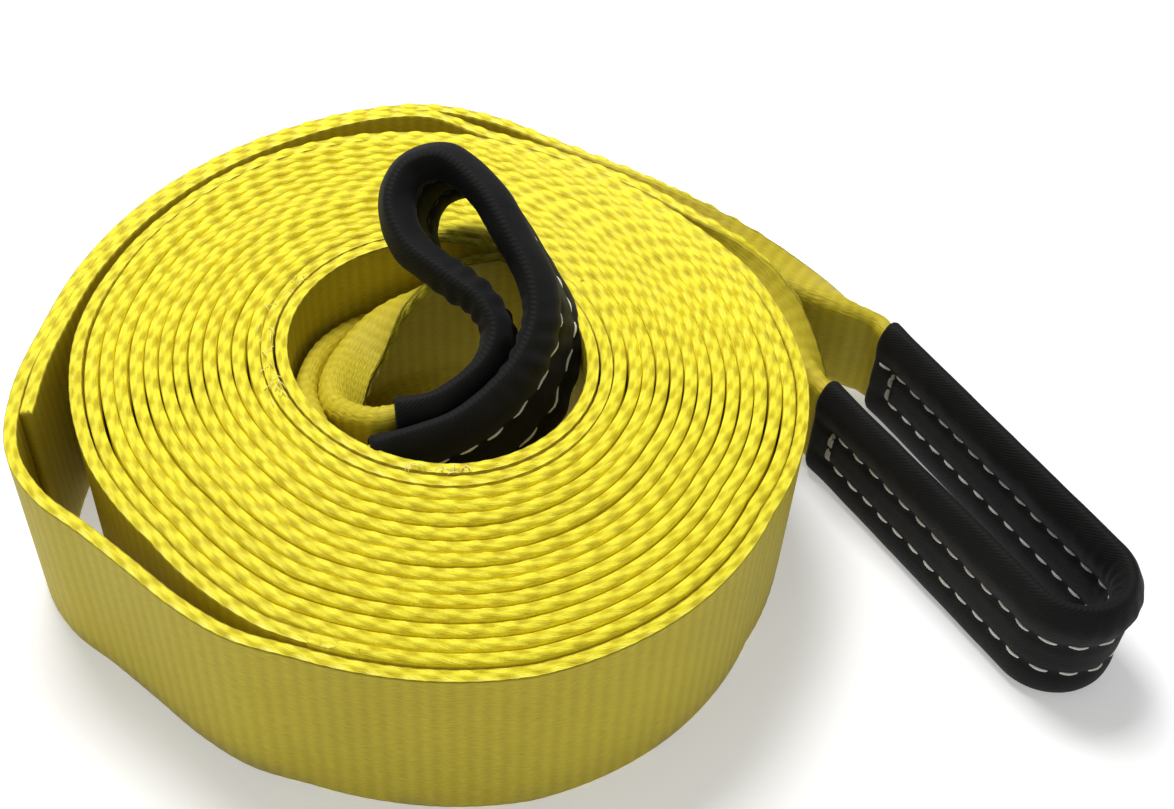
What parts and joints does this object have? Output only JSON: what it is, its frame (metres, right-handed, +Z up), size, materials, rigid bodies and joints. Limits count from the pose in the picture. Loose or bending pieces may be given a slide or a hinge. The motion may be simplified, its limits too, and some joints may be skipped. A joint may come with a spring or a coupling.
{
  "type": "tow strap",
  "caption": "Wide flat woven tow strap wound into a coil lying on its side, with a stitched fabric-sleeved eye at each end.",
  "frame": {"origin": "centre of the strap's box, on the floor", "axes": "+X towards the outer eye, +Y to the back of the coil, +Z up along the coil's axis"},
  "size_m": [0.4028, 0.2834, 0.1281],
  "materials": {
    "yellow_webbing": "glossy woven filament yarn",
    "black_sleeve": "matt twill cloth",
    "white_thread": "bonded sewing thread"
  },
  "bodies": {
    "root": {"webbing": "yellow_webbing", "outer_eye_sleeve": "black_sleeve", "outer_eye_outside_thread": "white_thread", "outer_eye_inside_thread": "white_thread", "inner_eye_sleeve": "black_sleeve", "inner_eye_thread": "white_thread"}
  },
  "joints": []
}
